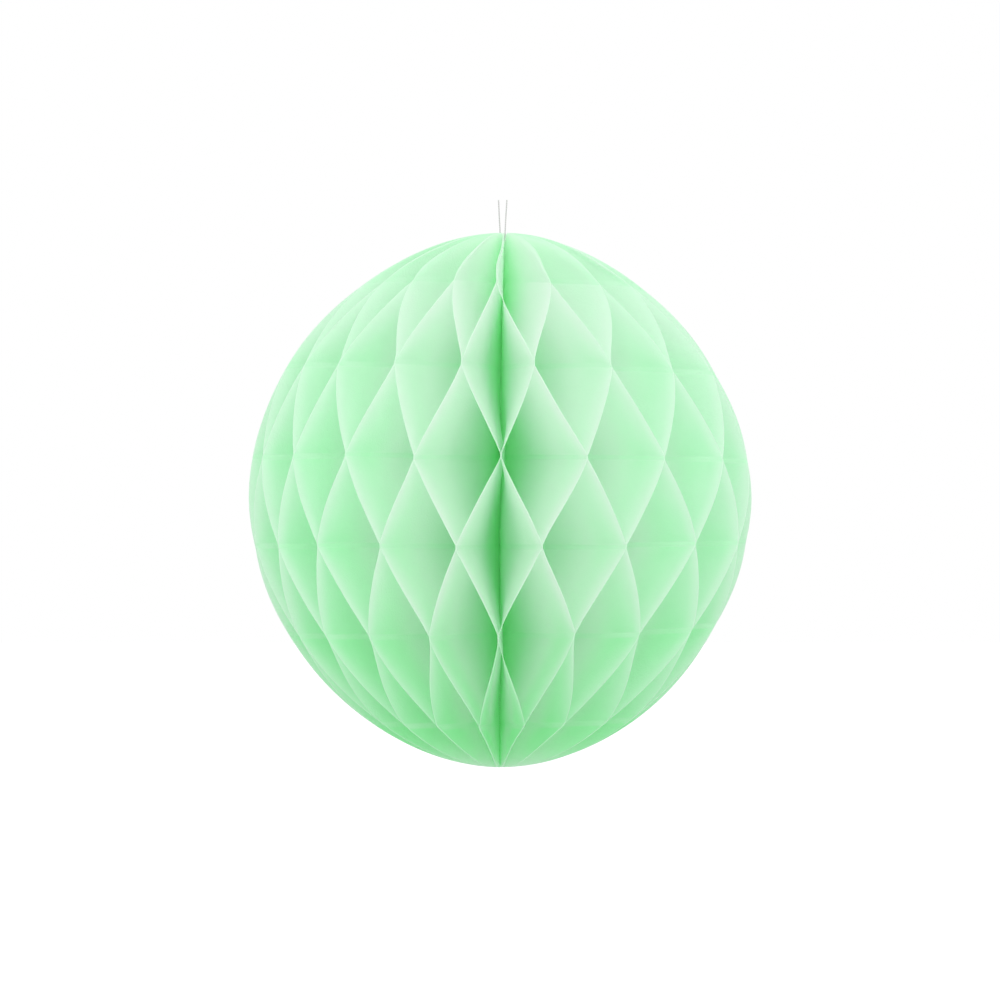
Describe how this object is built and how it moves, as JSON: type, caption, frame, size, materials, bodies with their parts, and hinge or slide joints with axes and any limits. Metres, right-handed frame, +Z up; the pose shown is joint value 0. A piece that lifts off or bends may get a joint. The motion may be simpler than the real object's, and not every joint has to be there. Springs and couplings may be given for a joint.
{
  "type": "honeycomb paper ball",
  "caption": "Tissue-paper honeycomb ball of half-disc leaves glued in staggered rows and fanned round a thread spine, with a thread to hang it as a decoration.",
  "frame": {"origin": "hanging point, on the ball's axis at the top of the paper, where the hanging thread comes out", "axes": "+Z up along the ball's axis, -Y towards the viewer of the picture, +X to the viewer's right"},
  "size_m": [0.2004, 0.2003, 0.2265],
  "materials": {
    "tissue": "thin dyed tissue paper, matt and translucent",
    "card": "dyed card, matt",
    "adhesive": "double-sided adhesive dot, satin",
    "thread": "white twisted thread, matt"
  },
  "bodies": {
    "root": {"leaf_01": "tissue", "leaf_02": "tissue", "leaf_03": "tissue", "leaf_04": "tissue", "leaf_05": "tissue", "leaf_06": "tissue", "leaf_07": "tissue", "leaf_08": "tissue", "leaf_09": "tissue", "leaf_10": "tissue", "leaf_11": "tissue", "leaf_12": "tissue", "leaf_13": "tissue", "leaf_14": "tissue", "leaf_15": "tissue", "leaf_16": "tissue", "leaf_17": "tissue", "leaf_18": "tissue", "leaf_19": "tissue", "leaf_20": "tissue", "leaf_21": "tissue", "leaf_22": "tissue", "leaf_23": "tissue", "leaf_24": "tissue", "leaf_25": "tissue", "leaf_26": "tissue", "leaf_27": "tissue", "leaf_28": "tissue", "leaf_29": "tissue", "leaf_30": "tissue", "leaf_31": "tissue", "leaf_32": "tissue", "leaf_33": "tissue", "leaf_34": "tissue", "leaf_35": "tissue", "leaf_36": "tissue", "leaf_37": "tissue", "leaf_38": "tissue", "end_card_first": "card", "end_card_last": "card", "closing_pad_1": "adhesive", "closing_pad_2": "adhesive", "closing_pad_3": "adhesive", "spine_thread": "thread", "hanging_thread": "thread"}
  },
  "joints": []
}
